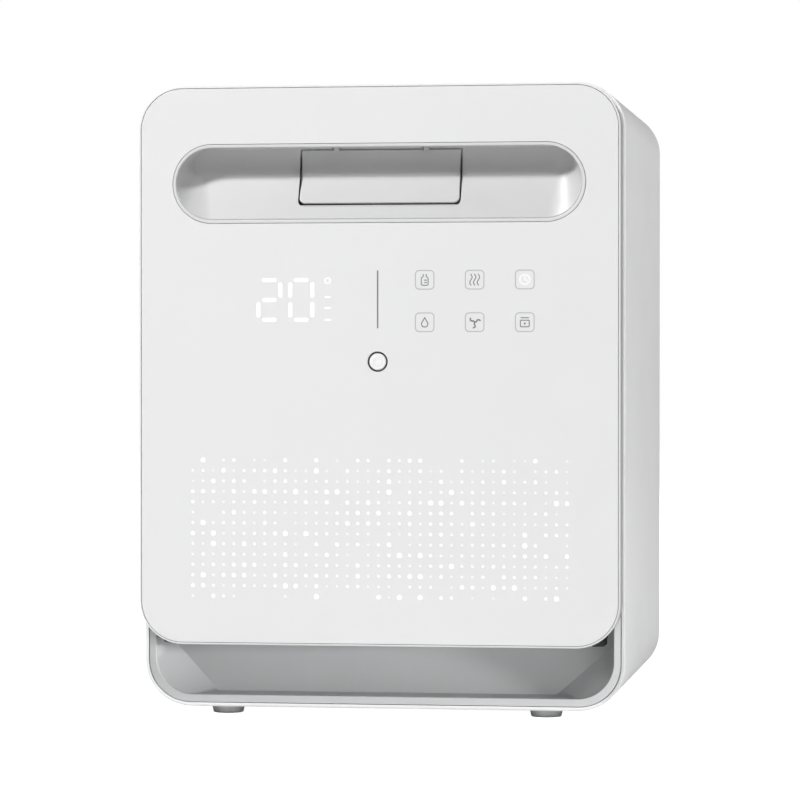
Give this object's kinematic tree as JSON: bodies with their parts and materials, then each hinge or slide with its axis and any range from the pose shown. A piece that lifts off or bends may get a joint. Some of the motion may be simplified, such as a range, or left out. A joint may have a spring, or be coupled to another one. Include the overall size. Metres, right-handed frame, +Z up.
{
  "type": "bottle sterilizer",
  "caption": "White upright countertop bottle sterilizer and dryer with a drop-down door, recessed handle, touch panel and steel chamber.",
  "frame": {"origin": "on the ground, in the middle of the width and depth", "axes": "+Z up, the door faces -Y, +X to the right seen from the front"},
  "size_m": [0.288, 0.2936, 0.3748],
  "materials": {
    "white_shell": "satin",
    "white_panel": "gloss",
    "white_frame": "satin",
    "cup_white": "satin",
    "grey_trim": "satin",
    "stainless": "brushed",
    "polished_steel": "polished",
    "zinc_steel": "zinc plated",
    "black_metal": "satin",
    "black_plastic": "matt",
    "dark_ring": "gloss",
    "silicone": "matt",
    "foot_rubber": "matt",
    "lamp_glass": "clear",
    "ceramic_white": "matt",
    "board_green": "solder mask",
    "board_white": "solder mask",
    "heater_fins": "plain",
    "filter_media": "pleated",
    "spring_steel": "drawn",
    "white_plastic": "satin",
    "magnet": "nickel",
    "parts_dark": "matt"
  },
  "bodies": {
    "cabinet": {"outer_shell": "white_shell", "rear_stiffener": "zinc_steel", "rear_panel": "white_shell", "front_bezel": "white_frame", "lower_trim": "grey_trim", "inner_liner": "stainless", "rack_rails": "white_plastic", "lower_rack": "polished_steel", "upper_rack": "polished_steel", "bottle_pegs": "white_plastic", "drip_tray": "stainless", "uv_lamps": "lamp_glass", "lamp_caps": "zinc_steel", "lamp_holders": "ceramic_white", "lamp_reflectors": "polished_steel", "lamp_ballast": "black_plastic", "fan_frame": "black_plastic", "fan_motor": "black_plastic", "air_duct": "white_plastic", "heater_block": "heater_fins", "hepa_filter": "filter_media", "base_plate": "zinc_steel", "main_board": "board_green", "board_posts": "white_plastic", "board_components": "parts_dark", "power_inlet": "black_plastic", "inlet_pins": "zinc_steel", "temperature_probe": "zinc_steel", "feet": "foot_rubber", "foot_screws": "zinc_steel", "rear_screws": "zinc_steel", "bezel_screws": "zinc_steel", "strike_plate": "zinc_steel", "door_sensor": "parts_dark", "hinge_brackets": "black_metal"},
    "door": {"front_panel": "white_panel", "door_frame": "white_frame", "door_inner_panel": "white_frame", "door_gasket": "silicone", "door_screws": "zinc_steel", "door_magnet": "magnet", "handle_cup": "cup_white", "flap_pin": "spring_steel", "flap_springs": "spring_steel", "latch_pin": "spring_steel", "latch_spring": "spring_steel", "button_ring": "dark_ring", "button_guide": "white_plastic", "button_spring": "spring_steel", "control_board": "board_white", "display_module": "board_white", "touch_pads": "parts_dark", "hinge_leaves": "zinc_steel", "hinge_pins": "spring_steel", "hinge_springs": "spring_steel"},
    "flap": {"release_flap": "cup_white"},
    "latch": {"latch_hook": "white_plastic"},
    "button": {"power_button": "white_panel"},
    "impeller": {"fan_impeller": "black_plastic"},
    "filter": {"filter_cover": "white_shell"}
  },
  "joints": [
    {"name": "door_hinge", "type": "hinge", "parent": "cabinet", "child": "door", "pos_m": [0, -0.128, 0.048], "axis": [1, 0, 0], "range_deg": [0, 90]},
    {"name": "flap_pivot", "type": "hinge", "parent": "door", "child": "flap", "pos_m": [0, -0.1365, 0.341], "axis": [-1, 0, 0], "range_deg": [0, 14], "stiffness_Nm_per_rad": 0.12},
    {"name": "latch_pivot", "type": "hinge", "parent": "door", "child": "latch", "pos_m": [0, -0.137, 0.352], "axis": [1, 0, 0], "range_deg": [0, 14], "stiffness_Nm_per_rad": 0.05},
    {"name": "button_press", "type": "slide", "parent": "door", "child": "button", "axis": [0, 1, 0], "range_m": [0, 0.001], "stiffness_N_per_m": 400, "deforming": ["button_spring"]},
    {"name": "fan_spin", "type": "hinge", "parent": "cabinet", "child": "impeller", "pos_m": [-0.06, 0.11, 0.045], "axis": [0, 1, 0], "continuous": true},
    {"name": "filter_pull", "type": "slide", "parent": "cabinet", "child": "filter", "axis": [0, 1, 0], "range_m": [0, 0.02]}
  ],
  "couplings": [
    {"joint": "latch_pivot", "follows": "flap_pivot", "ratio": 1}
  ]
}
